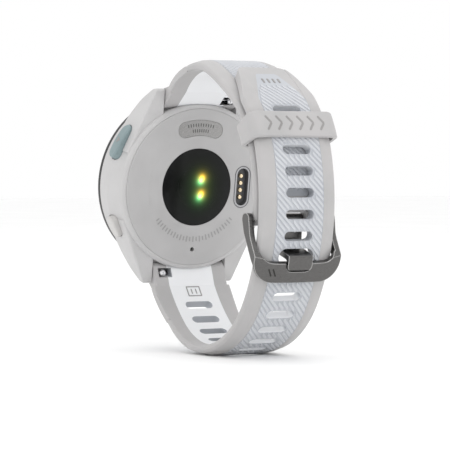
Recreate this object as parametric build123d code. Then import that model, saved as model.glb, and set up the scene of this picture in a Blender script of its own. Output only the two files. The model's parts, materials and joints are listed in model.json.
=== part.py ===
from build123d import *
import os
from math import cos, sin, radians, degrees, hypot, acos, atan2

# GPS running watch, buckled, as an assembly of separate pieces.
#
# Everything is modelled in the case frame: origin at the centre of the rear face, +X towards
# 3 o'clock, +Y towards the wrist, +Z towards 12 o'clock. The display faces -Y. The whole watch
# is then pitched about X and lifted, so that it stands on its strap with its display tipped
# a little upward, and the origin is under the middle of its box. Millimetres throughout.

os.makedirs("parts", exist_ok=True)

# ---- driving dimensions ---------------------------------------------------------------
case_d = 43.0            # case diameter
case_front = -9.9        # front of the case moulding, where the bezel sits
wall_in_r = 18.2         # cavity radius
strap_w = 20.0           # strap width between the lugs
strap_t = 2.4            # strap thickness
strap_gap = 0.3          # gap between the two strap layers where they lap
inlay_w = 12.6           # white centre of the strap
lug_gap = 20.3           # between the lugs' inner faces
bar_y = -2.9             # spring bar axis
bar_z = 21.2
window_r = 9.5           # sensor window
button_y = -5.6          # button centres, behind the bezel
stand_pitch = -8.54      # the case leans back this much as it stands

# ---- the closed strap loop: tangent arcs (radius, sweep) seen from +X -------------------
# The curve is the surface between the two straps. It starts below the lower lug and ends
# above the upper one; each arc turns left, towards the case.
loop_start = (1.35, -24.1)
loop_heading = -48.2
loop_arcs = [(39.0, 17), (19.0, 37), (25.0, 60), (42.3, 48), (25.0, 38), (68.0, 11), (16.8, 33),
             (16.0, 43)]
keeper_arc = 4           # the arc that the keeper slides along


def arc_frames():
    """Start point, heading and length so far of each arc of the loop, and its centre."""
    y, z = loop_start
    heading = loop_heading
    run = 0.0
    frames = []
    for radius, sweep in loop_arcs:
        cy = y - radius * sin(radians(heading))
        cz = z + radius * cos(radians(heading))
        frames.append({"y": y, "z": z, "heading": heading, "run": run, "cy": cy, "cz": cz,
                       "radius": radius, "sweep": sweep})
        run += radius * radians(sweep)
        heading += sweep
        y = cy + radius * sin(radians(heading))
        z = cz - radius * cos(radians(heading))
    return frames, run


frames, loop_length = arc_frames()


def loop_at(s):
    """Point (y, z) and heading of the loop at arc length s."""
    for frame in frames:
        length = frame["radius"] * radians(frame["sweep"])
        if s <= frame["run"] + length or frame is frames[-1]:
            heading = frame["heading"] + degrees((s - frame["run"]) / frame["radius"])
            y = frame["cy"] + frame["radius"] * sin(radians(heading))
            z = frame["cz"] - frame["radius"] * cos(radians(heading))
            return y, z, heading


def off_loop(s, n):
    """The point n outside the loop at arc length s, as (y, z)."""
    y, z, heading = loop_at(s)
    return y + n * sin(radians(heading)), z - n * cos(radians(heading))


def section_plane(s):
    """Cross-section plane of the strap: local x is +X, local y points out of the loop."""
    y, z, heading = loop_at(s)
    return Plane(origin=(0, y, z), x_dir=(1, 0, 0),
                 z_dir=(0, cos(radians(heading)), sin(radians(heading))))


def surface_plane(s, n=0.0):
    """Plane lying on the strap: local x is +X, its normal points out of the loop."""
    y, z, heading = loop_at(s)
    out = (0, sin(radians(heading)), -cos(radians(heading)))
    return Plane(origin=(0, y + n * out[1], z + n * out[2]), x_dir=(1, 0, 0), z_dir=out)


def along_loop(section, s_low, s_high):
    """A section, drawn as (X, outward), carried along the loop from s_low to s_high."""
    pieces = []
    for frame in frames:
        length = frame["radius"] * radians(frame["sweep"])
        low = max(s_low, frame["run"])
        high = min(s_high, frame["run"] + length)
        if high - low > 1e-6:
            turn = degrees((high - low) / frame["radius"])
            face = section_plane(low) * section
            axis = Axis((0, frame["cy"], frame["cz"]), (1, 0, 0))
            pieces.append(revolve(face, axis=axis, revolution_arc=turn))
    solid = pieces[0]
    for piece in pieces[1:]:
        solid = solid + piece
    return solid


def loop_s_of_arc(index):
    return frames[index]["run"]


# ---- small helpers ----------------------------------------------------------------------
def disc(r, y_low, y_high, x=0.0, z=0.0):
    """Round plate whose axis is Y."""
    return Pos(x, (y_low + y_high) / 2, z) * Rot(90, 0, 0) * Cylinder(r, y_high - y_low)


def ring(r_out, r_in, y_low, y_high, x=0.0, z=0.0):
    return disc(r_out, y_low, y_high, x, z) - disc(r_in, y_low - 1, y_high + 1, x, z)


def rod(r, x_low, x_high, y, z):
    """Round bar whose axis is X."""
    return Pos((x_low + x_high) / 2, y, z) * Rot(0, 90, 0) * Cylinder(r, x_high - x_low)


def block(x, y, z, dx, dy, dz):
    return Pos(x, y, z) * Box(dx, dy, dz)


def turned(points):
    """Solid of revolution about Y, from (radius, y) corners."""
    return revolve(make_face(Polyline(points, close=True)), axis=Axis.Y)


def yz_prism(face, x_low, x_high):
    """A face drawn as (y, z), extruded from x_low to x_high."""
    return Pos(x_low, 0, 0) * extrude(Plane.YZ * face, amount=x_high - x_low)


def round_corners(face, corners):
    """Round a flat face's corners, given as ((x, y), radius)."""
    for (x, y), radius in corners:
        face = fillet(face.vertices().sort_by_distance(Vector(x, y))[0], radius)
    return face


def solid_part(shape):
    """A shape's solids, fused into one part."""
    return Part() + list(shape.solids())


def common(a, b):
    """The solids that two shapes share."""
    return solid_part(a & b)


def one(shape):
    """The solid itself, when an operation returns a list of one."""
    solids = shape.solids()
    return solids[0] if len(solids) == 1 else Compound(children=list(solids))


nodes = {}

# ---- case -------------------------------------------------------------------------------
case_r = case_d / 2
rim_r = 19.35                       # rear rim, inner radius: the cover drops inside it
with BuildSketch() as case_profile:
    with BuildLine():
        Polyline((wall_in_r, case_front), (case_r - 0.2, case_front), (case_r, case_front + 0.2),
                 (case_r, -6.0))
        RadiusArc((case_r, -6.0), (20.55, -1.15), 9.0, short_sagitta=True)
        ThreePointArc((20.55, -1.15), (20.2, -0.42), (19.6, -0.12))
        Polyline((19.6, -0.12), (rim_r, -0.12), (rim_r, -1.3), (17.6, -1.3), (17.6, -2.0),
                 (wall_in_r, -2.0), (wall_in_r, case_front))
    make_face()
case_ring = revolve(case_profile.sketch, axis=Axis.Y)

lug_in = lug_gap / 2
flow_r, flow_angle = 20.9, 23.6      # where the lug's outer side runs into the case
flow = (flow_r * cos(radians(flow_angle)), flow_r * sin(radians(flow_angle)))
lug_plan = make_face(Polyline([(lug_in, 8.0), (lug_in, 24.0), (12.3, 24.0), flow, (15.0, 5.0)],
                              close=True))
lug_plan = round_corners(lug_plan, [((lug_in, 24.0), 0.6), ((12.3, 24.0), 1.2)])
lug_side = make_face(Polyline([(-1.05, 5.0), (-1.05, 24.0), (-3.0, 23.6), (-6.4, 20.6), (-8.6, 16.5),
                               (-9.7, 12.0), (-9.7, 5.0)], close=True))
lug_side = round_corners(lug_side, [((-1.05, 24.0), 0.6), ((-3.0, 23.6), 1.5), ((-6.4, 20.6), 9.0),
                                    ((-8.6, 16.5), 9.0)])
lug_block = common(extrude(Plane.XZ * lug_plan, amount=12, both=True), yz_prism(lug_side, 5, 21))
lug_block = fillet(lug_block.edges().filter_by(lambda e: e.center().X > 12.0 and e.center().Z > 14
                                              and e.length > 1.2), 0.45)
lugs = [lug_block, mirror(lug_block, about=Plane.YZ)]
lugs += [mirror(lug, about=Plane.XY) for lug in lugs]
case_body = case_ring
for lug in lugs:
    case_body = case_body + lug
cavity = disc(wall_in_r, case_front - 1, -2.0) + disc(17.6, -3, -1.3) + disc(rim_r, -1.3, 2.0)
case_body = case_body - cavity
# room for the strap ends between the lugs, and blind holes for the spring bar tips
strap_end_r = 2.25
for side in (1, -1):
    case_body = case_body - rod(strap_end_r + 0.35, -lug_in, lug_in, bar_y, side * bar_z)
    case_body = case_body - rod(0.5, -12.3, 12.3, bar_y, side * bar_z)

# ---- buttons ----------------------------------------------------------------------------
# angle round the case from 3 o'clock, length along the rim, width across it
buttons = {"start_button": (29, 9.0, 3.4), "back_button": (-29, 5.8, 3.4),
           "light_button": (151, 5.8, 3.4), "up_button": (180, 5.8, 3.4),
           "down_button": (209, 5.8, 3.4)}
cap_proud = 0.9
pocket_floor_r = 19.8
cap_under_r = pocket_floor_r + 0.55
stem_r = 0.8
stem_end_r = 16.9


def button_plane(angle, r):
    """Local x runs round the rim, local z points outward."""
    u = (cos(radians(angle)), 0, sin(radians(angle)))
    t = (-sin(radians(angle)), 0, cos(radians(angle)))
    return Plane(origin=(u[0] * r, button_y, u[2] * r), x_dir=t, z_dir=u)


def radial_rod(angle, r, low, high):
    return extrude(button_plane(angle, low) * Circle(r), amount=high - low)


seals = []
for name, (angle, length, width) in buttons.items():
    outline = SlotOverall(length, width)
    pocket = SlotOverall(length + 0.3, width + 0.3)
    case_body = case_body - extrude(button_plane(angle, pocket_floor_r) * pocket, amount=6)
    case_body = case_body - radial_rod(angle, 1.3, 19.0, 20.5)
    case_body = case_body - radial_rod(angle, stem_r + 0.06, 17.0, 20.0)
    case_body = case_body - radial_rod(angle, 1.2, 18.4, 18.8)
    cap = extrude(button_plane(angle, cap_under_r) * outline, amount=4)
    cap = common(cap, disc(case_r + cap_proud, -12, 2))
    face = cap.faces().sort_by(Axis((0, button_y, 0), button_plane(angle, 1).z_dir))[-1]
    cap = fillet(face.edges(), 0.45)
    cap = cap - radial_rod(angle, 1.3, cap_under_r - 0.1, cap_under_r + 0.5)
    stem = radial_rod(angle, stem_r, stem_end_r, cap_under_r + 0.6)
    stem = stem - (radial_rod(angle, 2.0, 17.75, 18.05) - radial_rod(angle, 0.55, 17.7, 18.1))
    nodes[name] = cap + stem
    clip = radial_rod(angle, 1.3, 17.76, 18.04) - radial_rod(angle, 0.56, 17.5, 18.2)
    notch = button_plane(angle, 17.9) * (Pos(0, 1, 0) * Box(0.7, 2, 1))
    nodes[name.replace("button", "clip")] = clip - notch
    seals.append(radial_rod(angle, 1.2, 18.4, 18.8) - radial_rod(angle, stem_r + 0.02, 18, 19.2))
    coil_low = 19.0 + 0.11
    coil_high = cap_under_r + 0.5 - 0.11
    coil = Helix(pitch=(coil_high - coil_low) / 3.5, height=coil_high - coil_low, radius=1.08)
    start_face = Plane(origin=coil @ 0, z_dir=coil % 0) * Circle(0.1)
    spring = sweep(start_face, path=coil)
    nodes[name.replace("button", "spring")] = button_plane(angle, coil_low).location * spring

nodes["case_body"] = case_body
nodes["button_seals"] = Compound(children=[one(seal) for seal in seals])

# ---- front: bezel, glass and display -------------------------------------------------------
glass_front = -11.3
nodes["bezel"] = turned([(17.4, case_front), (case_r, case_front), (case_r, -10.8), (21.3, -11.15),
                         (20.8, -11.4), (20.2, -11.5), (19.3, -11.5), (18.7, -11.2), (18.7, -10.25),
                         (17.4, -10.25)])
nodes["lens_gasket"] = ring(18.5, 17.5, -10.37, -10.25)
front_lens = disc(18.6, glass_front, -10.37)
nodes["front_lens"] = fillet(front_lens.faces().sort_by(Axis.Y)[0].edges(), 0.35)
nodes["display_panel"] = disc(16.8, -10.33, -9.5)

screw_spots = [(13.2 * cos(radians(a)), 13.2 * sin(radians(a))) for a in (75, 118, 300)]
carrier = disc(17.9, -9.45, -8.85) - disc(6.0, -10, -8)
for x, z in screw_spots:
    carrier = carrier + disc(1.2, -8.9, -8.15, x, z)
for x, z in screw_spots:
    carrier = carrier - disc(0.45, -9.3, -8, x, z)
nodes["display_carrier"] = carrier

antenna = ring(17.9, 17.1, -8.8, -7.85)
nodes["gps_antenna"] = antenna - block(0, -8.3, -18, 9, 3, 6)

# ---- electronics -----------------------------------------------------------------------------
board = disc(15.9, -8.1, -7.35)
for x, z in screw_spots:
    board = board - disc(0.55, -9, -7, x, z)
nodes["main_board"] = board
chips = [(-6.5, 5.5, 7.0, 6.0), (4.5, 6.5, 5.0, 5.0), (0.5, -3.0, 8.0, 4.5), (-9.0, -4.5, 4.0, 4.0),
         (8.5, -4.0, 3.2, 6.0)]
nodes["board_chips"] = Compound(children=[one(block(x, -6.9, z, dx, 0.9, dz))
                                          for x, z, dx, dz in chips])
screws = []
for x, z in screw_spots:
    screw = disc(0.95, -7.35, -6.85, x, z) + disc(0.44, -9.1, -7.3, x, z)
    screws.append(one(screw - block(x, -6.85, z, 1.3, 0.4, 0.3)))
nodes["board_screws"] = Compound(children=screws)
switches = []
for angle, _, _ in buttons.values():
    plane = button_plane(angle, 15.5)
    switches.append(one(plane * (Pos(0, 0.4, 0) * Box(3.2, 2.7, 1.7))))
nodes["tact_switches"] = Compound(children=switches)
battery = block(0, -4.75, 1.6, 19.0, 3.1, 15.0)
nodes["battery"] = fillet(battery.edges().filter_by(Axis.Y), 2.0)
nodes["vibration_motor"] = disc(4.0, -5.75, -3.1, 0.0, -11.3)
nodes["sensor_board"] = disc(8.4, -3.1, -2.5)
led_spots = [(-0.75, 1.95), (-0.75, -1.95)]
leds = [one(block(x, -2.2, z, 1.6, 0.6, 1.6)) for x, z in led_spots]
nodes["sensor_leds"] = Compound(children=leds)
diode_spots = [(4.4, 0.0), (-5.6, 0.0)]
diodes = [one(block(x, -2.25, z, 2.4, 0.5, 3.6)) for x, z in diode_spots]
nodes["photodiodes"] = Compound(children=diodes)
baffle = disc(8.7, -2.5, -0.85)
for x, z in led_spots:
    baffle = baffle - block(x, -1.7, z, 2.2, 4, 2.2)
for x, z in diode_spots:
    baffle = baffle - block(x, -1.7, z, 3.0, 4, 4.4)
nodes["light_baffle"] = baffle

# ---- rear cover, its window, contacts, plate and port -----------------------------------------
cover_r = rim_r - 0.04
cover = disc(cover_r, -1.27, 0.0)
cover = fillet(cover.faces().sort_by(Axis.Y)[-1].edges(), 0.12)
cover = cover - disc(window_r + 0.05, -0.8, 1) - disc(window_r - 0.6, -3, 1)
cover = cover - ring(18.75, 18.05, -1.4, -0.85)
contact_x = -12.85
contact_l, contact_w = 10.4, 4.3
contact_plane = Plane(origin=(contact_x, 0, 0), x_dir=(0, 0, 1), z_dir=(0, 1, 0))


def contact_slot(length, width, y_low, y_high):
    return Pos(0, y_low, 0) * extrude(contact_plane * SlotOverall(length, width),
                                      amount=y_high - y_low)


cover = cover - contact_slot(contact_l + 0.1, contact_w + 0.1, -3, 1)
plate_mid_r, plate_h, plate_half = 14.6, 3.8, 16.7


def arc_plate(grow, y_low, y_high):
    """Lozenge bent round the watch's centre, on the 12 o'clock side."""
    r_out = plate_mid_r + plate_h / 2 + grow
    r_in = plate_mid_r - plate_h / 2 - grow
    wedge = make_face(Polyline([(0, 0), (30 * sin(radians(plate_half)), 30 * cos(radians(plate_half))),
                                (-30 * sin(radians(plate_half)), 30 * cos(radians(plate_half)))],
                               close=True))
    wedge_solid = extrude(Plane.XZ * wedge, amount=20, both=True)
    body = common(ring(r_out, r_in, y_low, y_high), wedge_solid)
    for side in (1, -1):
        x = side * plate_mid_r * sin(radians(plate_half))
        z = plate_mid_r * cos(radians(plate_half))
        body = body + disc(plate_h / 2 + grow, y_low, y_high, x, z)
    return body


cover = cover - arc_plate(0.08, -0.35, 1)
nodes["serial_plate"] = arc_plate(0.0, -0.35, -0.03)
port_z = -15.45
cover = cover - disc(0.55, -3, 1, 0, port_z) - disc(1.3, -3, -0.95, 0, port_z)
nodes["vent_membrane"] = disc(1.25, -1.2, -0.95, 0, port_z)
nodes["rear_cover"] = cover
nodes["rear_gasket"] = ring(18.7, 18.1, -1.3, -0.88)
dome = Pos(0, 0.0, 0) * disc(window_r, -0.78, 0.0)
dome_rise = 0.75
dome_ball_r = (window_r ** 2 + dome_rise ** 2) / (2 * dome_rise)
dome_ball = Pos(0, dome_rise - dome_ball_r, 0) * Sphere(dome_ball_r)
dome = dome + common(dome_ball, disc(window_r, -0.4, 2))
nodes["sensor_lens"] = dome
nodes["buzzer"] = disc(3.6, -1.6, -1.27, 9.4, -9.4)
contact_block = contact_slot(contact_l, contact_w, -2.7, -0.05)
contact_block = contact_block - contact_slot(contact_l - 1.2, contact_w - 1.2, -1.25, 1)
for z in (2.1, -2.1):
    contact_block = contact_block - block(contact_x + 1.75, -0.2, z, 0.8, 0.9, 1.1)
pin_zs = [-2.64, -0.88, 0.88, 2.64]
pins = []
for z in pin_zs:
    contact_block = contact_block - disc(0.62, -3, 0, contact_x, z)
    pin = disc(0.62, -3.1, -0.55, contact_x, z)
    pins.append(one(fillet(pin.faces().sort_by(Axis.Y)[-1].edges(), 0.4)))
nodes["contact_block"] = contact_block
nodes["contact_pins"] = Compound(children=pins)

# ---- straps --------------------------------------------------------------------------------------
half_w = strap_w / 2
inlay_half = inlay_w / 2
long_base = strap_gap / 2                 # inner surface of the long strap, outside the loop curve
short_base = -strap_gap / 2 - strap_t     # inner surface of the short strap, inside it
long_tip_s = 109.6
pin_s = 69.6                              # where the buckle pin crosses
pin_n = -2.3
slot_pitch = 4.88                         # along the middle of the strap's thickness
slot_l, slot_h = 7.4, 2.2
tongue_slot_s = 61.6
taper_s, tip_mid_s = 97.0, 104.0          # where the tip starts to narrow, and its middle
border = 3.0                              # grey border round the tip of the inlay


def strap_section(base, low=0.0):
    """Flat centre, side rails that fall away to rounded edges."""
    right = [(0, 0), (half_w - 0.5, 0), (half_w, 0.5), (half_w, 1.15), (half_w - 0.45, 1.75),
             (inlay_half + 1.0, strap_t), (inlay_half, strap_t), (inlay_half - 0.15, strap_t - 0.12),
             (0, strap_t - 0.12)]
    points = [(x, y + base) for x, y in right]
    points += [(-x, y + base) for x, y in reversed(right[1:-1])]
    face = make_face(Polyline(points, close=True))
    corners = [((side * x, y + base), radius) for side in (1, -1)
               for (x, y), radius in zip(right[1:6], (0.3, 0.3, 0.5, 0.8, 2.0))]
    return round_corners(face, corners)


def inlay_section(base):
    return Pos(0, base + strap_t / 2) * Rectangle(inlay_w, strap_t + 2)


def tangent_touch(cy, cz, r, py, pz, side):
    """Point where the tangent from (py, pz) touches a circle, on the given side."""
    d = hypot(py - cy, pz - cz)
    angle = atan2(pz - cz, py - cy) + side * acos(r / d)
    return cy + r * cos(angle), cz + r * sin(angle)


def strap_root(upper):
    """The thick end of a strap, from the barrel round the spring bar to the loop's end."""
    side = 1 if upper else -1
    s = loop_length if upper else 0.0
    base = short_base if upper else long_base
    inner = off_loop(s, base)
    outer = off_loop(s, base + strap_t - 0.12)
    touch_in = tangent_touch(bar_y, side * bar_z, strap_end_r, *inner, -side)
    touch_out = tangent_touch(bar_y, side * bar_z, strap_end_r, *outer, side)
    web = make_face(Polyline([inner, outer, touch_out, (bar_y, side * bar_z), touch_in], close=True))
    return yz_prism(web, -9.9, 9.9) + rod(strap_end_r, -9.9, 9.9, bar_y, side * bar_z)


def shoulder(upper):
    """Wedges that widen the strap beside the lugs."""
    s_low, s_high = (loop_length - 10.0, loop_length) if upper else (0.0, 10.0)
    base = short_base if upper else long_base
    wide = Pos(0, base + 0.8) * RectangleRounded(2 * (half_w + 0.8), 1.6, 0.6)
    band = along_loop(wide, s_low, s_high)
    s_wide = s_high if upper else s_low
    s_thin = s_low if upper else s_high
    wide_p = off_loop(s_wide, base)
    thin_p = off_loop(s_thin, base)
    direction = Vector(0, thin_p[0] - wide_p[0], thin_p[1] - wide_p[1]).normalized()
    normal = Vector(0, direction.Z, -direction.Y)
    plane = Plane(origin=(0, *wide_p), x_dir=(1, 0, 0), z_dir=normal)
    y_sign = plane.to_local_coords(Vector(0, *thin_p)).Y
    reach = abs(y_sign)
    sign = 1 if y_sign > 0 else -1
    plan = Polyline([(half_w + 0.8, -3 * sign), (half_w + 0.8, 0), (half_w - 0.1, sign * reach),
                     (-half_w + 0.1, sign * reach), (-half_w - 0.8, 0), (-half_w - 0.8, -3 * sign)],
                    close=True)
    return common(band, extrude(plane * make_face(plan), amount=8, both=True))


def slot_cutter(s, length=slot_l, height=slot_h):
    return extrude(surface_plane(s) * SlotOverall(length, height), amount=6, both=True)


def tip_plan(s_end, half, end_half, corner):
    """The tapering end of a strap, as a solid to keep."""
    middle = surface_plane(tip_mid_s)
    # local y runs against the loop's direction on this plane
    taper = tip_mid_s - taper_s
    end = tip_mid_s - s_end
    outline = make_face(Polyline([(half, 20), (half, taper), (end_half, end), (-end_half, end),
                                  (-half, taper), (-half, 20)], close=True))
    outline = round_corners(outline, [((end_half, end), corner), ((-end_half, end), corner),
                                      ((half, taper), 8.0), ((-half, taper), 8.0)])
    return extrude(middle * outline, amount=8, both=True)


# long strap: 6 o'clock side, outside
long_full = along_loop(strap_section(long_base), 0.0, long_tip_s)
tip_from_s = 93.0
tip_box = along_loop(Pos(0, 1.5) * Rectangle(30, 8), tip_from_s, long_tip_s + 3)
tip_part = common(common(long_full, tip_box), tip_plan(long_tip_s, half_w + 0.1, 6.2, 2.4))
long_full = (long_full - tip_box) + tip_part
long_full = long_full + shoulder(False)
inlay_zone = along_loop(inlay_section(long_base), 0.0, tip_from_s)
inlay_end = along_loop(inlay_section(long_base), tip_from_s, long_tip_s - border)
inlay_zone = inlay_zone + common(inlay_end, tip_plan(long_tip_s - border, inlay_half + 0.1, 2.7, 1.0))
root = strap_root(False)
middle = block(0, 0, 0, inlay_w, 100, 100)
long_inlay = common(long_full, inlay_zone) + common(root, middle)
long_strap = solid_part((long_full - inlay_zone) + (root - middle))
mid_n = long_base + strap_t / 2
slot_s = [tongue_slot_s]
for direction in (1, -1):
    s = tongue_slot_s
    for k in range(12):
        radius = [frame["radius"] for frame in frames if frame["run"] <= s][-1]
        s += direction * slot_pitch * radius / (radius + mid_n)
        slot_s.append(s)
slot_s = [s for s in slot_s if 4.5 < s < 97.0]
for s in slot_s:
    long_inlay = long_inlay - slot_cutter(s)
# the slot in use is stretched by the tongue
long_inlay = long_inlay - slot_cutter(tongue_slot_s + 0.2, slot_l + 1.8, slot_h + 1.6)

# short strap: 12 o'clock side, inside, ending round the buckle pin
pin_y, pin_z = off_loop(pin_s, pin_n)
short_full = along_loop(strap_section(short_base), pin_s, loop_length) + shoulder(True)
inlay_zone = along_loop(inlay_section(short_base), pin_s + 5.5, loop_length)
root = strap_root(True)
short_inlay = common(short_full, inlay_zone) + common(root, middle)
short_strap = solid_part((short_full - inlay_zone) + (root - middle))
short_strap = short_strap + rod(1.5, -half_w + 0.4, half_w - 0.4, pin_y, pin_z)
short_strap = short_strap - rod(0.84, -14, 14, pin_y, pin_z)
tongue_w = 6.4
short_strap = short_strap - yz_prism(Pos(pin_y, pin_z) * Circle(2.6), -tongue_w / 2 - 0.3,
                                     tongue_w / 2 + 0.3)

# ---- spring bars -----------------------------------------------------------------------------------
knob_x = 7.7
for name, side, knob_side in (("upper", 1, -1), ("lower", -1, 1)):
    z = side * bar_z
    bore = rod(0.95, -12, 12, bar_y, z)
    gate = block(knob_side * 6.9, bar_y + 2.5, z, 3.6, 5.0, 2.1)
    if side == 1:
        short_strap = short_strap - bore - gate
        short_inlay = short_inlay - bore - gate
    else:
        long_strap = long_strap - bore - gate
        long_inlay = long_inlay - bore - gate
    tube = rod(0.9, -9.6, 9.6, bar_y, z) - rod(0.62, -9.2, 9.2, bar_y, z)
    far = -knob_side
    tube = tube - rod(0.47, min(knob_side * 9, knob_side * 10), max(knob_side * 9, knob_side * 10),
                      bar_y, z)
    tube = tube - block(knob_side * 6.95, bar_y + 1.0, z, 3.1, 2.0, 0.8)
    tip = rod(0.42, min(far * 9.6, far * 12.0), max(far * 9.6, far * 12.0), bar_y, z)
    plunger = rod(0.56, min(knob_side * 6.2, knob_side * 9.1), max(knob_side * 6.2, knob_side * 9.1),
                  bar_y, z)
    plunger = plunger + rod(0.42, min(knob_side * 9, knob_side * 12.0),
                            max(knob_side * 9, knob_side * 12.0), bar_y, z)
    plunger = plunger + disc(0.32, bar_y, bar_y + 2.4, knob_side * knob_x, z)
    plunger = plunger + Pos(knob_side * knob_x, bar_y + 2.6, z) * Sphere(0.85)
    coil = Helix(pitch=0.9, height=4.6, radius=0.4)
    wire = sweep(Plane(origin=coil @ 0, z_dir=coil % 0) * Circle(0.16), path=coil)
    coil_end = knob_side * 6.05
    spring = Pos(coil_end, bar_y, z) * Rot(0, -90 * knob_side, 0) * wire
    nodes[name + "_bar_tube"] = tube
    nodes[name + "_bar_tip"] = tip
    nodes[name + "_bar_plunger"] = plunger
    nodes[name + "_bar_spring"] = spring

nodes["long_strap"] = long_strap
nodes["long_strap_inlay"] = long_inlay
nodes["short_strap"] = short_strap
nodes["short_strap_inlay"] = short_inlay

# ---- keeper ------------------------------------------------------------------------------------------
keeper_clear = 0.35
keeper_wall = 1.15
keeper_w = 5.6
keeper_s = loop_s_of_arc(keeper_arc) + 2.2
keeper_in_h = 2 * strap_t + strap_gap + 2 * keeper_clear
inside = Rectangle(strap_w + 2 * keeper_clear, keeper_in_h)
inside = fillet(inside.vertices(), 1.0)
outside = Rectangle(strap_w + 2 * keeper_clear + 2 * keeper_wall, keeper_in_h + 2 * keeper_wall)
outside = fillet(outside.vertices(), 2.3)
keeper = along_loop(outside, keeper_s, keeper_s + keeper_w)
keeper = fillet(keeper.edges().filter_by(lambda e: e.length > 3.0), 0.35)
nodes["keeper"] = keeper - along_loop(inside, keeper_s - 0.5, keeper_s + keeper_w + 1.0)

# ---- buckle ---------------------------------------------------------------------------------------------
arm_in = half_w + 0.25
arm_out = half_w + 1.55
arm_end_r = 1.45
bar_low_s, bar_high_s = 56.4, 61.1        # the far bar, outside the long strap
bar_mid_s = (bar_low_s + bar_high_s) / 2
bar_in_n = long_base + strap_t + 0.3
bar_out_n = bar_in_n + 1.75
# corners of the side view, as (along the loop, out of the loop), and their rounding
side_view = [(pin_s + 0.2, pin_n + arm_end_r, 0), (66.1, 0.1, 6.0), (61.2, bar_out_n, 2.0),
             (bar_low_s, bar_out_n, 0.7), (bar_low_s, bar_in_n, 0.7), (60.2, bar_in_n, 1.0),
             (63.3, -0.2, 6.0), (66.3, -2.6, 5.0), (pin_s - 0.4, pin_n - arm_end_r + 0.03, 0)]
arm_face = make_face(Polyline([off_loop(s, n) for s, n, _ in side_view], close=True))
arm_face = round_corners(arm_face, [(off_loop(s, n), radius) for s, n, radius in side_view if radius])
arm_face = arm_face + Pos(pin_y, pin_z) * Circle(arm_end_r)
with BuildSketch() as under_bar:
    with BuildLine():
        ThreePointArc((-arm_in, bar_in_n - 0.2), (0, bar_in_n), (arm_in, bar_in_n - 0.2))
        Polyline((arm_in, bar_in_n - 0.2), (arm_in, -8), (-arm_in, -8), (-arm_in, bar_in_n - 0.2))
    make_face()
with BuildSketch() as crown:
    with BuildLine():
        ThreePointArc((-arm_out, bar_out_n - 1.1), (0, bar_out_n), (arm_out, bar_out_n - 1.1))
        Polyline((arm_out, bar_out_n - 1.1), (arm_out, -8), (-arm_out, -8),
                 (-arm_out, bar_out_n - 1.1))
    make_face()
opening = Pos(0, 15 + bar_high_s - bar_mid_s) * RectangleRounded(2 * arm_in, 30, 3.6)
outline = Pos(0, 15 + bar_low_s - bar_mid_s) * RectangleRounded(2 * arm_out, 30, 5.2)
bar_plane = surface_plane(bar_mid_s, bar_in_n - 0.6)
bar_plane = Plane(origin=bar_plane.origin, x_dir=(-1, 0, 0), z_dir=bar_plane.z_dir)
buckle = common(yz_prism(arm_face, -arm_out, arm_out), extrude(bar_plane * outline, amount=20, both=True))
buckle = common(buckle, along_loop(crown.sketch, bar_low_s - 5, pin_s + 6))
buckle = buckle - along_loop(under_bar.sketch, bar_low_s - 6, pin_s + 7)
buckle = buckle - extrude(bar_plane * opening, amount=8)
notch_w = tongue_w + 0.5
notch_s = bar_low_s + 2.7
notch_n = bar_in_n + 1.0
notch = Pos(0, 15 + notch_s - bar_mid_s) * RectangleRounded(notch_w, 30, 1.6)
notch_plane = Plane(origin=surface_plane(bar_mid_s, notch_n - 0.1).origin, x_dir=(-1, 0, 0),
                    z_dir=bar_plane.z_dir)
buckle = buckle - extrude(notch_plane * notch, amount=6)
pin_half = arm_out - 0.4
buckle = buckle - rod(0.84, -pin_half, pin_half, pin_y, pin_z)
nodes["buckle_frame"] = buckle
nodes["buckle_pin"] = rod(0.78, -pin_half + 0.05, pin_half - 0.05, pin_y, pin_z)

tongue_t = 0.95
rest_n = notch_n + 0.05
tongue_view = [(pin_s - 0.6, pin_n + 0.7, 0), (63.1, -0.9, 0.4), (62.6, rest_n + tongue_t - 0.1, 0.6),
               (61.0, rest_n + tongue_t, 0.6), (notch_s + 0.3, rest_n + tongue_t, 0.4),
               (notch_s + 0.3, rest_n, 0.2), (bar_high_s + 0.3, rest_n, 0.2), (61.6, 3.3, 0.3),
               (61.6, -1.7, 0.5), (62.5, -2.1, 0.5), (pin_s - 0.6, pin_n - 0.7, 0)]
tongue_face = make_face(Polyline([off_loop(s, n) for s, n, _ in tongue_view], close=True))
tongue_face = round_corners(tongue_face, [(off_loop(s, n), radius) for s, n, radius in tongue_view
                                          if radius])
tongue_plan = Pos(0, 15 + notch_s + 0.3 - bar_mid_s) * RectangleRounded(tongue_w, 30, 1.3)
tongue = common(yz_prism(tongue_face, -tongue_w / 2, tongue_w / 2),
                extrude(notch_plane * tongue_plan, amount=12, both=True))
tongue = tongue + rod(1.3, -tongue_w / 2, tongue_w / 2, pin_y, pin_z)
nodes["buckle_tongue"] = tongue - rod(0.84, -14, 14, pin_y, pin_z)

# ---- stand the watch up and write it ----------------------------------------------------------------------
pitched = Rot(stand_pitch, 0, 0)
nodes = {name: pitched * one(shape) for name, shape in nodes.items()}
boxes = [shape.bounding_box() for shape in nodes.values()]
low = [min(tuple(box.min)[k] for box in boxes) for k in range(3)]
high = [max(tuple(box.max)[k] for box in boxes) for k in range(3)]
lift = Pos(-(low[0] + high[0]) / 2, -(low[1] + high[1]) / 2, -low[2])
place = lift * pitched
for name, shape in nodes.items():
    export_step(lift * shape, "parts/" + name + ".step")


def placed(x, y, z):
    point = (place * Pos(x, y, z)).position
    return [round(point.X, 4), round(point.Y, 4), round(point.Z, 4)]


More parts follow.
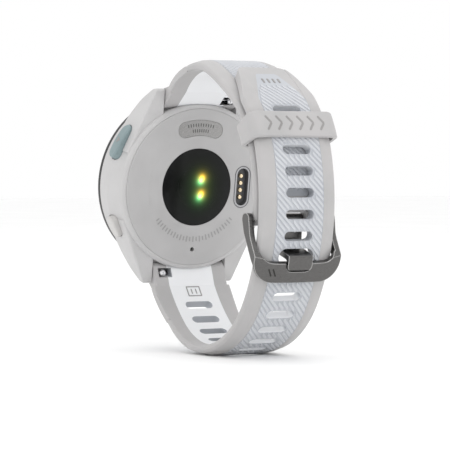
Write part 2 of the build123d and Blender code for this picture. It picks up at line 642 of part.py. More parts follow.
print("box", [round(b - a, 2) for a, b in zip(low, high)], "nodes", len(nodes))
print("case origin", placed(0, 0, 0))
print("upper bar", placed(0, bar_y, bar_z), "lower bar", placed(0, bar_y, -bar_z))
print("buckle pin", placed(0, pin_y, pin_z))
print("keeper centre", placed(0, frames[keeper_arc]["cy"], frames[keeper_arc]["cz"]))
print("front glass", placed(0, glass_front, 0), "loop middle", placed(0, 22, -1))
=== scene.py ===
"""Looks for a buckled GPS running watch: finishes for the CAD pieces, ribbed strap inlays and
the small printed and moulded details, with a camera, soft light and a pale floor."""
import itertools
import json
import math

import bpy
from mathutils import Matrix, Vector


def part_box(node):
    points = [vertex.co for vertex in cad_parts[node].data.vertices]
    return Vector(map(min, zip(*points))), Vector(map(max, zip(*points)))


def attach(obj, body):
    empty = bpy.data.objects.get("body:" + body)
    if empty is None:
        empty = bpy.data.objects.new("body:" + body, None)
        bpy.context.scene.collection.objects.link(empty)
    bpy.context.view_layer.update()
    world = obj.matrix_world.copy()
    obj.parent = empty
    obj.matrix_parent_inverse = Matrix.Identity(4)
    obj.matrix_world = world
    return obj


bl_info = {
    "name": "Running watch looks",
    "version": (1, 0, 0),
    "blender": (4, 5, 0),
    "location": "View3D > Sidebar > Watch",
    "description": "Finishes and small details of a buckled running watch",
    "category": "Object",
}

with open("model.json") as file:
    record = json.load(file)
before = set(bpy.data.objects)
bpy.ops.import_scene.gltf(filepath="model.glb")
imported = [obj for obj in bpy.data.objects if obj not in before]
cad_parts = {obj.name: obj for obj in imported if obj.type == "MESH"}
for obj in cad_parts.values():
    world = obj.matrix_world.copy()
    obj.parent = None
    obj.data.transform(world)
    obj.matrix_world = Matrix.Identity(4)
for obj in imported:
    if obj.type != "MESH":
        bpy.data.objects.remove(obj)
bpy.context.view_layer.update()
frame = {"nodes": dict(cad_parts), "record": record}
NODES = frame["nodes"]
MM = 0.001

# ---- where things are: the case frame inside the row frame --------------------------------
STAND_PITCH = math.radians(-8.54)


def case_origin():
    """Centre of the rear face: the sensor window's axis, at the window's rim."""
    low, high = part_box("light_baffle")
    middle = (low + high) / 2
    outward = Matrix.Rotation(STAND_PITCH, 3, "X") @ Vector((0, 1, 0))
    return middle + outward * (1.675 * MM)


CASE = Matrix.Translation(case_origin()) @ Matrix.Rotation(STAND_PITCH, 4, "X")


def in_case(x, y, z):
    """A point given in the case frame in millimetres, as a point of the row frame in metres."""
    return CASE @ Vector((x * MM, y * MM, z * MM))


# ---- the strap's curve, in the case frame ------------------------------------------------------
LOOP_START = (1.35, -24.1)
LOOP_HEADING = -48.2
LOOP_ARCS = ((39.0, 17), (19.0, 37), (25.0, 60), (42.3, 48), (25.0, 38), (68.0, 11), (16.8, 33),
             (16.0, 43))
# millimetres from here on: s runs along the curve, n out of it, x across the strap
STRAP_T = 2.4
HALF_GAP = 0.15         # from the curve to each of the two strap layers
RECESS = 0.12           # the white centre lies this much below the grey border
INLAY_HALF = 6.3
EDGE_MARGIN = 0.15      # between the ribs and the centre's edge
PIN_S = 69.6
TAPER_S = 97.0          # where the strap's tip starts to narrow
KEEPER_MIDDLE_S = 90.46
KEEPER_OUT_N = 4.05
BAR_OUT_N = 4.6
CROWN_DROP = 1.1        # the buckle's bar is crowned, and this much lower at its ends
CROWN_HALF = 11.55
# the slots, and the wider one in use, round the buckle's tongue
SLOT_LENGTH = 7.4
SLOT_HEIGHT = 2.2
SLOT_PITCH = 4.88
SLOT_MARGIN = 0.2
TONGUE_SLOT_S = 61.6
TONGUE_SLOT_SHIFT = 0.2
TONGUE_SLOT_REACH = 2.1
# on the case
BUTTON_RADIUS = 22.4
BUTTON_Y = -5.6
CONTACT_X = -12.85      # the charging socket's middle
CONTACT_RUN = 6.1       # its length less its width


def loop_at(s):
    """Point (y, z) of the strap's curve s along it, with its heading in radians."""
    y, z = LOOP_START
    heading = math.radians(LOOP_HEADING)
    for index, (radius, sweep) in enumerate(LOOP_ARCS):
        centre_y = y - radius * math.sin(heading)
        centre_z = z + radius * math.cos(heading)
        length = radius * math.radians(sweep)
        part = s if s <= length or index == len(LOOP_ARCS) - 1 else length
        heading += part / radius
        y = centre_y + radius * math.sin(heading)
        z = centre_z - radius * math.cos(heading)
        if part == s:
            return y, z, heading, radius
        s -= length


def on_strap(x, s, n):
    """Row-frame point x across, s along and n millimetres outside the strap's curve."""
    y, z, heading, radius = loop_at(s)
    return in_case(x, y + n * math.sin(heading), z - n * math.cos(heading))


def on_buckle(x, s, h):
    """Row-frame point on the outer face of the buckle's crowned bar, and h above it."""
    return on_strap(x, s, BAR_OUT_N - CROWN_DROP * (x / CROWN_HALF) ** 2 + h)


def slot_places():
    """Where the adjusting slots are along the strap: evenly spaced along its middle."""
    places = [TONGUE_SLOT_S]
    for direction in (1, -1):
        s = TONGUE_SLOT_S
        for _ in range(12):
            radius = loop_at(s)[3]
            s += direction * SLOT_PITCH * radius / (radius + HALF_GAP + STRAP_T / 2)
            places.append(s)
    return sorted(place for place in places if 4.5 < place < TAPER_S)


def on_cover(x, z, h):
    """Row-frame point on the rear cover, h millimetres above it."""
    return in_case(x, h, z)


def on_button(angle, along, across, h):
    """Row-frame point on a button's outer face: along the rim, across it, and h above it."""
    radius = BUTTON_RADIUS + h
    turn = math.radians(angle) + along / BUTTON_RADIUS
    return in_case(radius * math.cos(turn), BUTTON_Y + across, radius * math.sin(turn))


# the middle of the strap loop
LOOP_MIDDLE = (0.0, 0.004542, 0.035324)
# the two LEDs' places along the window, and around each the glows: x, z, spread, colour, strength
LED_PLACES = (1.95, -1.95)
LED_GLOWS = ((-0.75, 0.0, 2.4, "#0A8A2E", 0.3), (-0.55, -0.45, 0.95, "#3DF0A0", 1.6),
             (-1.0, 0.5, 0.9, "#FFB020", 2.2), (-0.8, 0.0, 0.7, "#F0F26A", 2.4))


# ---- colour and nodes -----------------------------------------------------------------------
def linear(code):
    """An sRGB hex colour as linear RGBA."""
    parts = [int(code.lstrip("#")[k:k + 2], 16) / 255 for k in (0, 2, 4)]
    return [c / 12.92 if c <= 0.04045 else ((c + 0.055) / 1.055) ** 2.4 for c in parts] + [1.0]


def add_node(tree, kind, inputs=None, **settings):
    """Adds a node, sets its properties, then sets or links its inputs by name or number."""
    made = tree.nodes.new(kind)
    for key, value in settings.items():
        setattr(made, key, value)
    for key, value in (inputs or {}).items():
        socket = made.inputs[key]
        if isinstance(value, bpy.types.NodeSocket):
            tree.links.new(value, socket)
        else:
            socket.default_value = value
    return made


def new_material(name):
    """A material with one Principled shader, and its tree, shader and Object coordinates."""
    material = bpy.data.materials.new(name)
    material.use_nodes = True
    tree = material.node_tree
    tree.nodes.clear()
    shader = add_node(tree, "ShaderNodeBsdfPrincipled")
    add_node(tree, "ShaderNodeOutputMaterial", {"Surface": shader.outputs[0]})
    place = add_node(tree, "ShaderNodeTexCoord").outputs["Object"]
    return material, tree, shader, place


def link(tree, source, target):
    tree.links.new(source, target)


def grain(tree, place, size_mm, detail=2.0, rough=0.5):
    """Noise whose blotches are about size_mm across."""
    noise = add_node(tree, "ShaderNodeTexNoise",
                     {"Vector": place, "Scale": 1.0 / (size_mm * MM), "Detail": detail,
                      "Roughness": rough})
    return noise.outputs["Fac"]


def two_tone(tree, factor, low, high, dark, light):
    """A colour ramp between two hex colours, from factor low to factor high."""
    ramp = add_node(tree, "ShaderNodeValToRGB", {"Fac": factor})
    ramp.color_ramp.elements[0].position = low
    ramp.color_ramp.elements[0].color = linear(dark)
    ramp.color_ramp.elements[1].position = high
    ramp.color_ramp.elements[1].color = linear(light)
    return ramp.outputs["Color"]


def span(tree, factor, low, high):
    """Maps a 0 to 1 factor onto low to high."""
    return add_node(tree, "ShaderNodeMapRange",
                    {"Value": factor, "From Min": 0.3, "From Max": 0.7, "To Min": low,
                     "To Max": high}).outputs["Result"]


def bump(tree, shader, height, depth_mm):
    """Puts a height map on a shader and returns the Bump node."""
    made = add_node(tree, "ShaderNodeBump", {"Height": height, "Distance": depth_mm * MM,
                                             "Strength": 1.0})
    link(tree, made.outputs["Normal"], shader.inputs["Normal"])
    return made


def blend(tree, factor, under, colour):
    """Mixes a flat hex colour over a colour socket by a factor socket."""
    mix = add_node(tree, "ShaderNodeMix", data_type="RGBA")
    link(tree, factor, mix.inputs[0])
    link(tree, under, mix.inputs[6])
    mix.inputs[7].default_value = linear(colour)
    return mix.outputs[2]


def moulded(name, dark, light, rough=(0.42, 0.55), grit=0.22, depth=0.012, sheen=0.0, soft=0.0):
    """Moulded plastic or rubber: slow colour drift, spark-eroded grain, roughness that varies."""
    material, tree, shader, place = new_material(name)
    drift = grain(tree, place, 9.0, 3.0)
    link(tree, two_tone(tree, drift, 0.35, 0.65, dark, light), shader.inputs["Base Color"])
    fine = grain(tree, place, grit, 2.0)
    link(tree, span(tree, fine, rough[0], rough[1]), shader.inputs["Roughness"])
    bump(tree, shader, fine, depth)
    shader.inputs["Sheen Weight"].default_value = sheen
    shader.inputs["Sheen Roughness"].default_value = 0.5
    if soft:
        shader.inputs["Subsurface Weight"].default_value = soft
        shader.inputs["Subsurface Radius"].default_value = (1.0, 0.95, 0.9)
        shader.inputs["Subsurface Scale"].default_value = 0.6 * MM
    return material


def metal(name, dark, light, rough=(0.25, 0.38), stretch=(1.0, 1.0, 1.0), line_mm=0.25, depth=0.004,
          edge_mm=0.0, edge_highlight=None):
    """Metal with fine lines left by polishing: the noise is stretched along one direction. With edge_mm,
    its corners look rounded over that radius and take the edge colour, a painted highlight along the
    edges."""
    material, tree, shader, place = new_material(name)
    mapped = add_node(tree, "ShaderNodeMapping", {"Vector": place, "Scale": stretch}).outputs[0]
    lines = grain(tree, mapped, line_mm, 3.0)
    colour = two_tone(tree, lines, 0.3, 0.7, dark, light)
    link(tree, span(tree, lines, rough[0], rough[1]), shader.inputs["Roughness"])
    bumped = bump(tree, shader, lines, depth)
    if edge_mm:
        soft = add_node(tree, "ShaderNodeBevel", {"Radius": edge_mm * MM}, samples=6).outputs[0]
        link(tree, soft, bumped.inputs["Normal"])
        flat = add_node(tree, "ShaderNodeNewGeometry").outputs["True Normal"]
        same = add_node(tree, "ShaderNodeVectorMath", {0: soft, 1: flat},
                        operation="DOT_PRODUCT").outputs["Value"]
        # lighter colour on the rounded corners: a painted highlight along the edges
        painted_edge_highlight = add_node(tree, "ShaderNodeMapRange", {"Value": same, "From Min": 0.99, "From Max": 0.88,
                                                     "To Min": 0.0, "To Max": 1.0}).outputs[0]
        colour = blend(tree, painted_edge_highlight, colour, edge_highlight)
    link(tree, colour, shader.inputs["Base Color"])
    shader.inputs["Metallic"].default_value = 1.0
    return material


def gloss(name, colour, rough=0.08, coat=1.0, smear=0.06):
    """Polished dark plastic or glass: faint wipe marks only."""
    material, tree, shader, place = new_material(name)
    haze = grain(tree, place, 6.0, 4.0)
    shader.inputs["Base Color"].default_value = linear(colour)
    link(tree, span(tree, haze, rough, rough + smear), shader.inputs["Roughness"])
    shader.inputs["Coat Weight"].default_value = coat
    shader.inputs["Coat Roughness"].default_value = 0.03
    return material


def white_with_painted_groove_shade():
    """White silicone whose ribbed outer face between the ribs, and the slot walls, are darker than the
    ribs: painted shade in the grooves and slots. The side that faces the wrist is plain bright white.
    """
    # these darker colours are painted shade between the ribs and in the slots
    material = moulded("white_silicone", "#B5B8BE", "#BBBEC3", (0.5, 0.62), 0.14, 0.006, 0.15, 0.1)
    tree = material.node_tree
    shader = next(node for node in tree.nodes if node.type == "BSDF_PRINCIPLED")
    place = next(node for node in tree.nodes if node.type == "TEX_COORD").outputs["Object"]
    outward = add_node(tree, "ShaderNodeVectorMath", {0: place, 1: LOOP_MIDDLE},
                       operation="SUBTRACT").outputs[0]
    facing = add_node(tree, "ShaderNodeNewGeometry").outputs["True Normal"]
    side = add_node(tree, "ShaderNodeVectorMath", {0: outward, 1: facing},
                    operation="DOT_PRODUCT").outputs["Value"]
    inside = add_node(tree, "ShaderNodeMapRange", {"Value": side, "From Min": -0.004,
                                                   "From Max": -0.008}).outputs[0]
    outside = shader.inputs["Base Color"].links[0].from_socket
    # painted groove shade on the outer face and slot walls, bright white on the wrist side
    link(tree, blend(tree, inside, outside, "#EFF0F2"), shader.inputs["Base Color"])
    return material


def sensor_glass():
    """Smoked polycarbonate window: near-black gloss with two green glows where the LEDs shine through,
    each with a warm core beside it, and a painted reflection that makes it lighter towards its rim."""
    material, tree, shader, place = new_material("smoked_sensor_glass")
    shader.inputs["Specular IOR Level"].default_value = 0.16
    # lighter towards the rim: a painted reflection on the black glass
    middle = add_node(tree, "ShaderNodeVectorMath", {0: place, 1: in_case(0, 0.6, 0)},
                      operation="DISTANCE").outputs["Value"]
    outward = add_node(tree, "ShaderNodeMapRange", {"Value": middle, "From Min": 3.5 * MM,
                                                    "From Max": 9.2 * MM}).outputs[0]
    link(tree, two_tone(tree, outward, 0.0, 1.0, "#060607", "#19191A"), shader.inputs["Base Color"])
    haze = grain(tree, place, 5.0, 3.0)
    link(tree, span(tree, haze, 0.10, 0.2), shader.inputs["Roughness"])
    total = None
    for led_z, (x, z, size, tint, power) in itertools.product(LED_PLACES, LED_GLOWS):
        offset = add_node(tree, "ShaderNodeVectorMath", {0: place, 1: in_case(x, 0.6, led_z + z)},
                          operation="DISTANCE")
        near = add_node(tree, "ShaderNodeMath", {0: offset.outputs["Value"], 1: size * MM},
                        operation="DIVIDE").outputs[0]
        squared = add_node(tree, "ShaderNodeMath", {0: near, 1: 2.0}, operation="POWER").outputs[0]
        lower = add_node(tree, "ShaderNodeMath", {0: squared, 1: 1.0}, operation="ADD").outputs[0]
        fall = add_node(tree, "ShaderNodeMath", {0: lower, 1: -2.2}, operation="POWER").outputs[0]
        level = add_node(tree, "ShaderNodeMath", {0: fall, 1: power}, operation="MULTIPLY").outputs[0]
        glow = add_node(tree, "ShaderNodeVectorMath", {0: linear(tint)[:3], "Scale": level},
                        operation="SCALE").outputs[0]
        total = glow if total is None else add_node(tree, "ShaderNodeVectorMath", {0: total, 1: glow},
                                                    operation="ADD").outputs[0]
    link(tree, total, shader.inputs["Emission Color"])
    shader.inputs["Emission Strength"].default_value = 1.0
    return material


def board_green():
    """Glass-epoxy board under green solder mask."""
    return moulded("solder_mask", "#0E3A26", "#14482F", rough=(0.3, 0.4), grit=0.5, depth=0.004)


def all_materials():
    """Every finish of the watch, by the name of its slot."""
    return {
        "case_polymer": moulded("fibre_polymer_case", "#BEBDBD", "#C5C4C4", (0.40, 0.52), 0.16, 0.006),
        "cover_polymer": moulded("matt_rear_cover", "#B5B4B4", "#BBBABA", (0.48, 0.6), 0.2, 0.010),
        "contact_rim": moulded("contact_rim", "#57575A", "#636366", (0.3, 0.4), 0.2, 0.006),
        "contact_ring": metal("contact_ring", "#A3A3A5", "#B5B5B7", (0.3, 0.4)),
        "contact_block": moulded("contact_block", "#4B4B4E", "#575759", (0.3, 0.42), 0.2, 0.006),
        "cover_mark": moulded("engraved_cover", "#9A9999", "#A1A0A0", (0.5, 0.6), 0.2, 0.006),
        "start_cap": moulded("start_button_polymer", "#7F9093", "#899A9D", (0.4, 0.5), 0.2, 0.006),
        "button_cap": moulded("button_polymer", "#C2C0BE", "#C9C7C5", (0.4, 0.5), 0.2, 0.006),
        "strap_grey": moulded("grey_silicone", "#B0AFAF", "#B7B5B5", (0.5, 0.62), 0.14, 0.006, 0.15, 0.1),
        "strap_white": white_with_painted_groove_shade(),
        "rib_white": moulded("white_silicone_ribs", "#C4C6CB", "#CACCD0", (0.5, 0.62), 0.14, 0.006, 0.15,
                             0.1),
        "mark_grey": moulded("moulded_mark", "#8F8D8C", "#979594", (0.5, 0.6), 0.14, 0.006),
        "seal_rubber": moulded("seal_rubber", "#141414", "#1B1B1B", (0.5, 0.65), 0.2, 0.006),
        "carrier_plastic": moulded("black_nylon", "#101010", "#181818", (0.5, 0.6), 0.25, 0.008),
        "black_plastic": moulded("matt_black_baffle", "#0C0C0D", "#131314", (0.6, 0.7), 0.2, 0.006),
        "membrane": moulded("porous_film", "#3A3A3A", "#474747", (0.7, 0.9), 0.08, 0.02),
        "board": board_green(),
        "chip": gloss("epoxy_chip", "#121214", 0.35, 0.2),
        "diode": gloss("diode_window", "#141020", 0.1, 1.0),
        "led": gloss("led_window", "#D8F0A0", 0.15, 1.0),
        "display": gloss("display_glass", "#050608", 0.06, 1.0),
        "front_glass": gloss("front_glass", "#040506", 0.03, 1.0, 0.03),
        "dial_ink": gloss("lit_dial_marks", "#C9CDCF", 0.3, 0.0),
        "bezel_black": moulded("black_bezel", "#141415", "#1B1B1C", (0.3, 0.4), 0.18, 0.005),
        "sensor_glass": sensor_glass(),
        "steel": metal("turned_steel", "#8E8E90", "#A9A9AB", (0.28, 0.4)),
        "chrome_steel": metal("polished_steel", "#C9C9CB", "#DEDEE0", (0.06, 0.14)),
        "spring_steel": metal("spring_wire", "#8A8A8C", "#9C9C9E", (0.25, 0.35)),
        "gold": metal("gold_plate", "#E6CFA8", "#F4E6CA", (0.14, 0.24)),
        "brass_disc": metal("piezo_brass", "#B99A4E", "#C9AB62", (0.3, 0.4)),
        "antenna": metal("plated_antenna", "#A98B55", "#BEA06A", (0.3, 0.4)),
        "battery_foil": metal("pouch_foil", "#A8A8AA", "#BCBCBE", (0.3, 0.45), line_mm=1.2, depth=0.03),
        "plate_metal": metal("satin_plate", "#8A8988", "#A8A7A6", (0.3, 0.4), line_mm=0.15),
        "plate_ink": moulded("plate_ink", "#4A4949", "#555453", (0.5, 0.6), 0.2, 0.002),
        # C9C8C7 is the painted highlight along the buckle's edges
        "buckle_metal": metal("blasted_steel", "#5F5E5D", "#6D6C6B", (0.26, 0.36), (1.0, 6.0, 6.0), 0.6,
                              0.004, 0.35, "#C9C8C7"),
        "buckle_mark": metal("engraved_steel", "#3A3938", "#454443", (0.35, 0.45)),
    }


FINISHES = {}


def assign_finishes():
    """Gives every CAD node the finish of its slot."""
    FINISHES.update(all_materials())
    slots = {part["node"]: part["material_slot"] for part in frame["record"]["subparts"]}
    for name, obj in NODES.items():
        finish = FINISHES["contact_block" if name == "contact_block" else slots[name]]
        if not obj.material_slots:
            obj.data.materials.append(finish)
        for material_slot in obj.material_slots:
            material_slot.material = finish


# ---- small shapes -------------------------------------------------------------------------------
def mesh_piece(name, vertices, faces, finish, body, smooth_angle=35.0):
    """A closed piece from its corners and faces, finished, smoothed by angle and put on a body."""
    mesh = bpy.data.meshes.new(name)
    mesh.from_pydata([tuple(v) for v in vertices], [], faces)
    piece = bpy.data.objects.new(name, mesh)
    bpy.context.collection.objects.link(piece)
    bpy.ops.object.select_all(action="DESELECT")
    bpy.context.view_layer.objects.active = piece
    piece.select_set(True)
    bpy.ops.object.mode_set(mode="EDIT")
    bpy.ops.mesh.select_all(action="SELECT")
    bpy.ops.mesh.normals_make_consistent(inside=False)
    bpy.ops.object.mode_set(mode="OBJECT")
    bpy.ops.object.shade_smooth_by_angle(angle=math.radians(smooth_angle))
    mesh.materials.append(finish)
    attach(piece, body)
    return piece


def pill(u, v, length, width, turn=0.0, steps=4):
    """Outline of a bar with round ends, centred on (u, v) and turned by turn degrees."""
    half = max(length - width, 0.0) / 2
    points = []
    for side in (1, -1):
        for k in range(steps + 1):
            a = math.radians(-90 + 180 * k / steps) + (0 if side == 1 else math.pi)
            points.append((side * half + width / 2 * math.cos(a), width / 2 * math.sin(a)))
    c, d = math.cos(math.radians(turn)), math.sin(math.radians(turn))
    return [(u + x * c - y * d, v + x * d + y * c) for x, y in points]


def polygon(u, v, radius, sides, turn=0.0):
    """Outline of an even polygon."""
    return [(u + radius * math.cos(math.radians(turn) + 2 * math.pi * k / sides),
             v + radius * math.sin(math.radians(turn) + 2 * math.pi * k / sides))
            for k in range(sides)]


def stand_out(outlines, place, low, high):
    """Corners and faces of one closed prism on each outline; place(u, v, h) puts a point."""
    vertices, faces = [], []
    for outline in outlines:
        first, count = len(vertices), len(outline)
        vertices += [place(u, v, low) for u, v in outline]
        vertices += [place(u, v, high) for u, v in outline]
        faces.append(tuple(range(first, first + count)))
        faces.append(tuple(range(first + count, first + 2 * count)))
        for k in range(count):
            after = (k + 1) % count
            faces.append((first + k, first + after, first + count + after, first + count + k))
    return vertices, faces


def rim(outside, inside, place, low, high):
    """Corners and faces of a closed ring between two outlines of as many points."""
    vertices, faces = [], []
    for outline, h in ((outside, low), (outside, high), (inside, high), (inside, low)):
        vertices += [place(u, v, h) for u, v in outline]
    count = len(outside)
    for k in range(count):
        after = (k + 1) % count
        for row in range(4):
            up = (row + 1) % 4
            faces.append((row * count + k, row * count + after, up * count + after, up * count + k))
    return vertices, faces


def printed(name, outlines, place, low, high, finish, body):
    """A row of small marks as one piece."""
    vertices, faces = stand_out(outlines, place, low, high)
    return mesh_piece(name, vertices, faces, FINISHES[finish], body)


# ---- ribbed strap centre ---------------------------------------------------------------------------
RIB_STEP = 0.3          # between the points along a rib


def rib_runs(s_middle, half, s_low, s_high, blocked):
    """The stretches of one slanting rib that no slot interrupts, as lists of (x, s)."""
    slope = bpy.context.scene.watch_ribs.slope
    runs, run = [], []
    steps = int(2 * half / RIB_STEP)
    for k in range(steps + 1):
        x = -half + 2 * half * k / steps
        s = s_middle + slope * x
        clear = s_low < s < s_high and not blocked(x, s)
        if clear:
            run.append((x, s))
        if (not clear or k == steps) and run:
            if len(run) > 1:
                runs.append(run)
            run = []
    return runs


def ribs(name, base, half_at, s_low, s_high, slots, body):
    """Slanting ribs standing on the outer face of a strap's centre."""
    sizes = bpy.context.scene.watch_ribs
    pitch = sizes.pitch * 1000
    low = base + STRAP_T - RECESS - 0.06
    high = base + STRAP_T - RECESS + sizes.height * 1000
    wide, narrow = sizes.width * 500, sizes.width * 330

    def blocked(x, s):
        if abs(x) > half_at(s):
            return True
        past = abs(x) - (SLOT_LENGTH - SLOT_HEIGHT) / 2
        in_use = TONGUE_SLOT_S + TONGUE_SLOT_SHIFT
        if math.hypot(s - in_use, max(0.0, past - 0.1)) < TONGUE_SLOT_REACH:
            return True
        return any(math.hypot(s - slot, max(0.0, past)) < SLOT_HEIGHT / 2 + SLOT_MARGIN
                   for slot in slots)

    vertices, faces = [], []
    count = int((s_high - s_low + 14) / pitch)
    for index in range(count):
        middle = s_low - 7 + index * pitch
        for run in rib_runs(middle, INLAY_HALF - EDGE_MARGIN, s_low, s_high, blocked):
            first = len(vertices)
            for x, s in run:
                for shift, n in ((-wide, low), (-narrow, high), (narrow, high), (wide, low)):
                    vertices.append(on_strap(x, s + shift, n))
            for k in range(len(run) - 1):
                for row in range(4):
                    up = (row + 1) % 4
                    a, b = first + 4 * k, first + 4 * (k + 1)
                    faces.append((a + row, a + up, b + up, b + row))
            last = first + 4 * (len(run) - 1)
            faces.append((first, first + 1, first + 2, first + 3))
            faces.append((last, last + 1, last + 2, last + 3))
    return mesh_piece(name, vertices, faces, FINISHES["rib_white"], body, 50.0)


def tip_half(s):
    """Half width of the ribbed field, which narrows with the strap's tip."""
    return INLAY_HALF - EDGE_MARGIN - max(0.0, s - TAPER_S) * 0.37


class WATCH_OT_ribs(bpy.types.Operator):
    """Ribs on the white centre of both straps"""
    bl_idname = "watch.ribs"
    bl_label = "Strap ribs"

    def execute(self, context):
        slots = slot_places()
        ribs("long_strap_ribs", HALF_GAP, tip_half, 7.0, 101.6, slots, "long_strap")
        ribs("short_strap_ribs", -HALF_GAP - STRAP_T, lambda s: INLAY_HALF, PIN_S + 7.0, 128.0, [],
             "short_strap")
        return {"FINISHED"}


# ---- generic marks ------------------------------------------------------------------------------------
class WATCH_OT_strap_marks(bpy.types.Operator):
    """Plain moulded marks on the keeper, the strap's tip and the inside of the strap"""
    bl_idname = "watch.strap_marks"
    bl_label = "Strap marks"

    def execute(self, context):
        chevrons = []
        for k in range(6):
            u = -7.0 + 2.8 * k
            chevrons.append(pill(u, KEEPER_MIDDLE_S + 0.75, 2.1, 0.5, 50))
            chevrons.append(pill(u, KEEPER_MIDDLE_S - 0.75, 2.1, 0.5, -50))
        # the chevrons' darker grey is painted shade in the keeper's moulded recesses
        printed("keeper_chevrons", chevrons,
                lambda u, v, h: on_strap(u, v, KEEPER_OUT_N + h), -0.08, 0.05,
                "mark_grey", "keeper")
        outer = HALF_GAP + STRAP_T - RECESS
        tip = [pill(u, 103.6, 1.7, 0.5, 90) for u in (-2.1, -0.7, 0.7, 2.1)]
        printed("tip_bars", tip, lambda u, v, h: on_strap(u, v, outer + h), -0.08, 0.08,
                "mark_grey", "long_strap")
        inner = [pill(-1.75, 1.7, 2.9, 0.3, 90), pill(1.75, 1.7, 2.9, 0.3, 90),
                 pill(0, 0.4, 3.8, 0.3), pill(0, 3.0, 3.8, 0.3), pill(-0.6, 1.7, 1.5, 0.3, 90),
                 pill(0.6, 1.7, 1.5, 0.3, 90)]
        printed("inside_box", inner, lambda u, v, h: on_strap(u, v, HALF_GAP - h), -0.08, 0.03,
                "mark_grey", "long_strap")
        return {"FINISHED"}


class WATCH_OT_case_marks(bpy.types.Operator):
    """Plain ticks, dots and bars on the rear cover, the plate, the start button and the display"""
    bl_idname = "watch.case_marks"
    bl_label = "Case marks"

    def execute(self, context):
        ticks = []
        for k in range(27):
            turn = 218 + 4.0 * k
            ticks.append(pill(12.9 * math.cos(math.radians(turn)), 12.9 * math.sin(math.radians(turn)),
                              1.5 if k % 2 else 1.1, 0.34, turn))
        for name, length, wide, height in (("contact_rim", 10.5, 0.18, 0.06),
                                           ("contact_ring", 10.1, 0.38, 0.02)):
            outside = pill(CONTACT_X, 0, length, length - CONTACT_RUN, 90, 8)
            inside = pill(CONTACT_X, 0, length - 2 * wide, length - CONTACT_RUN - 2 * wide, 90, 8)
            vertices, faces = rim(outside, inside, on_cover, -0.3, height)
            mesh_piece(name, vertices, faces, FINISHES[name], "case")
        printed("cover_ticks", ticks, on_cover, -0.05, 0.03, "cover_mark", "case")
        dots = []
        for k in range(17):
            turn = math.radians(-28 + 5.2 * k)
            dots.append(polygon(12.9 * math.cos(turn), 12.9 * math.sin(turn), 0.36, 12))
        printed("cover_dots", dots, on_cover, -0.05, 0.03, "cover_polymer", "case")
        bars = []
        for radius, first, count in ((15.3, 13.0, 11), (13.9, 8.6, 8)):
            for k in range(count):
                turn = 90 + first - 2 * first * k / (count - 1)
                bars.append(pill(radius * math.cos(math.radians(turn)),
                                 radius * math.sin(math.radians(turn)), 0.85, 0.26, turn))
        printed("plate_bars", bars, lambda u, v, h: on_cover(u, v, h - 0.03), -0.05, 0.012, "plate_ink",
                "case")
        printed("start_triangle", [polygon(0, 0, 1.0, 3, 90)],
                lambda u, v, h: on_button(29, u, v, h), -0.05, 0.03, "mark_grey", "start_button")
        slants = [pill(6.2, 58.9, 1.9, 0.36, 62), pill(7.3, 58.9, 1.9, 0.36, 62)]
        printed("buckle_bars", slants,
                on_buckle, -0.12, 0.03,
                "buckle_mark", "buckle_frame")
        hours = []
        for k in range(12):
            turn = 30 * k
            hours.append(pill(14.6 * math.cos(math.radians(turn)), 14.6 * math.sin(math.radians(turn)),
                              2.4 if k % 3 == 0 else 1.4, 0.5, turn))
        hours.append(pill(-3.0, 2.4, 8.4, 0.75, 141))
        hours.append(pill(3.2, 4.9, 12.4, 0.5, 57))
        hours.append(polygon(0, 0, 0.9, 20))
        printed("dial_marks", hours, lambda u, v, h: in_case(u, -11.3 - h, v), -0.05, 0.012,
                "dial_ink", "case")
        return {"FINISHED"}


# ---- stage ------------------------------------------------------------------------------------
def add_area_light(name, spot, aim, size, watts):
    """A rectangular lamp at spot that points at aim."""
    bpy.ops.object.light_add(type="AREA", location=spot)
    lamp = bpy.context.object
    lamp.name = name
    lamp.data.shape = "RECTANGLE"
    lamp.data.size = size[0]
    lamp.data.size_y = size[1]
    lamp.data.energy = watts
    lamp.rotation_euler = (aim - spot).to_track_quat("-Z", "Y").to_euler()


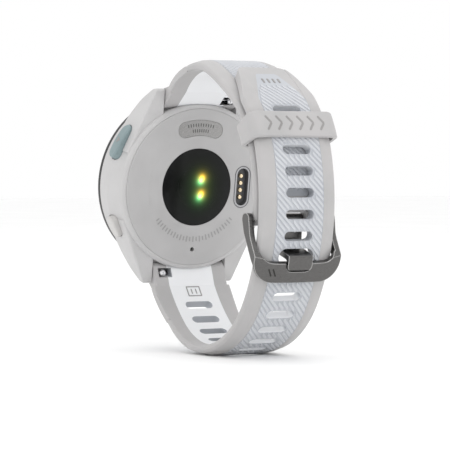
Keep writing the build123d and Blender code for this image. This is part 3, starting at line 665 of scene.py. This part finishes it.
class WATCH_OT_stage(bpy.types.Operator):
    """Floor, soft light and the camera"""
    bl_idname = "watch.stage"
    bl_label = "Stage"

    def execute(self, context):
        sizes = context.scene.watch_stage
        bpy.ops.mesh.primitive_plane_add(size=6.0, location=(0, 0, 0))
        floor = context.object
        floor.name = "floor"
        material, tree, shader, place = new_material("pale_floor")
        shade = grain(tree, place, 60.0, 2.0)
        link(tree, two_tone(tree, shade, 0.3, 0.7, "#FBFBFB", "#FEFEFE"), shader.inputs["Base Color"])
        shader.inputs["Roughness"].default_value = 0.7
        floor.data.materials.append(material)
        azimuth = sizes.camera_azimuth
        height = sizes.camera_elevation
        back = Vector((math.sin(azimuth) * math.cos(height), -math.cos(azimuth) * math.cos(height),
                       math.sin(height)))
        aim = case_origin() + Vector(sizes.camera_aim)
        bpy.ops.object.camera_add(location=aim + back * sizes.camera_distance)
        camera = context.object
        camera.rotation_euler = (-back).to_track_quat("-Z", "Y").to_euler()
        camera.data.lens = sizes.camera_lens * 1000
        camera.data.sensor_width = 36.0
        camera.data.clip_start = 0.01
        context.scene.camera = camera
        right = Vector((math.cos(azimuth), math.sin(azimuth), 0))
        middle = Vector((0, 0, 0.035))
        add_area_light("key_light", middle + back * 0.5 + right * 0.35 + Vector((0, 0, 0.55)), middle,
                       (0.5, 0.5), sizes.key_watts)
        add_area_light("fill_light", middle + back * 0.45 - right * 0.7 + Vector((0, 0, 0.2)), middle,
                       (0.6, 0.6), sizes.fill_watts)
        add_area_light("top_light", middle - back * 0.1 + Vector((0, 0, 0.8)), middle, (0.8, 0.8),
                       sizes.top_watts)
        world = context.scene.world or bpy.data.worlds.new("World")
        context.scene.world = world
        world.use_nodes = True
        background = next(n for n in world.node_tree.nodes if n.type == "BACKGROUND")
        background.inputs["Color"].default_value = linear("#FFFFFF")
        background.inputs["Strength"].default_value = sizes.world_strength
        context.scene.view_settings.view_transform = "Standard"
        return {"FINISHED"}


class WATCH_OT_finishes(bpy.types.Operator):
    """Finishes of the CAD pieces"""
    bl_idname = "watch.finishes"
    bl_label = "Finishes"

    def execute(self, context):
        assign_finishes()
        return {"FINISHED"}


class WatchRibs(bpy.types.PropertyGroup):
    """The ribs on the strap"""
    pitch: bpy.props.FloatProperty(name="Pitch", description="Between ribs, along the strap",
                                   default=1.36 * MM, unit="LENGTH", precision=5)
    width: bpy.props.FloatProperty(name="Width", description="Of a rib's foot, along the strap",
                                   default=0.96 * MM, unit="LENGTH", precision=5)
    height: bpy.props.FloatProperty(name="Height", description="Of a rib above the strap's centre",
                                    default=0.18 * MM, unit="LENGTH", precision=5)
    slope: bpy.props.FloatProperty(name="Slope", description="Run along the strap for each 1 across",
                                   default=0.98)


class WatchStage(bpy.types.PropertyGroup):
    """The camera and the lamps"""
    camera_azimuth: bpy.props.FloatProperty(name="Camera azimuth", description="0 looks along +Y",
                                            default=math.radians(150.0), subtype="ANGLE")
    camera_elevation: bpy.props.FloatProperty(name="Camera elevation", description="Above the floor",
                                              default=math.radians(1.26), subtype="ANGLE")
    camera_distance: bpy.props.FloatProperty(name="Camera distance", description="To the aim point",
                                             default=0.6, unit="LENGTH")
    camera_aim: bpy.props.FloatVectorProperty(name="Camera aim",
                                              description="Middle of the picture from the sensor window",
                                              default=(-0.005887, 0.003631, -0.009245), subtype="XYZ")
    camera_lens: bpy.props.FloatProperty(name="Lens", description="Focal length",
                                         default=0.1965, unit="LENGTH", precision=4)
    key_watts: bpy.props.FloatProperty(name="Key light", description="Power", default=0.9,
                                       unit="POWER")
    fill_watts: bpy.props.FloatProperty(name="Fill light", description="Power", default=0.3,
                                        unit="POWER")
    top_watts: bpy.props.FloatProperty(name="Top light", description="Power", default=1.2,
                                       unit="POWER")
    world_strength: bpy.props.FloatProperty(name="Room light", description="Strength of the room",
                                            default=1.0)


class WATCH_PT_panel(bpy.types.Panel):
    """Lists the watch's pieces"""
    bl_label = "Watch"
    bl_idname = "WATCH_PT_panel"
    bl_space_type = "VIEW_3D"
    bl_region_type = "UI"
    bl_category = "Watch"

    def draw(self, context):
        for made in OPERATORS:
            self.layout.operator(made.bl_idname)
        for sizes in (context.scene.watch_ribs, context.scene.watch_stage):
            for key in sizes.__annotations__:
                self.layout.prop(sizes, key)


OPERATORS = (WATCH_OT_finishes, WATCH_OT_ribs, WATCH_OT_strap_marks, WATCH_OT_case_marks,
             WATCH_OT_stage)
CLASSES = (WatchRibs, WatchStage) + OPERATORS + (WATCH_PT_panel,)


def register():
    for made in CLASSES:
        bpy.utils.register_class(made)
    bpy.types.Scene.watch_ribs = bpy.props.PointerProperty(type=WatchRibs)
    bpy.types.Scene.watch_stage = bpy.props.PointerProperty(type=WatchStage)


def unregister():
    del bpy.types.Scene.watch_stage
    del bpy.types.Scene.watch_ribs
    for made in reversed(CLASSES):
        bpy.utils.unregister_class(made)


def main():
    register()
    bpy.ops.object.select_all(action="DESELECT")
    bpy.ops.watch.finishes()
    bpy.ops.watch.ribs()
    bpy.ops.watch.strap_marks()
    bpy.ops.watch.case_marks()
    bpy.ops.watch.stage()


if __name__ == "__main__":
    main()
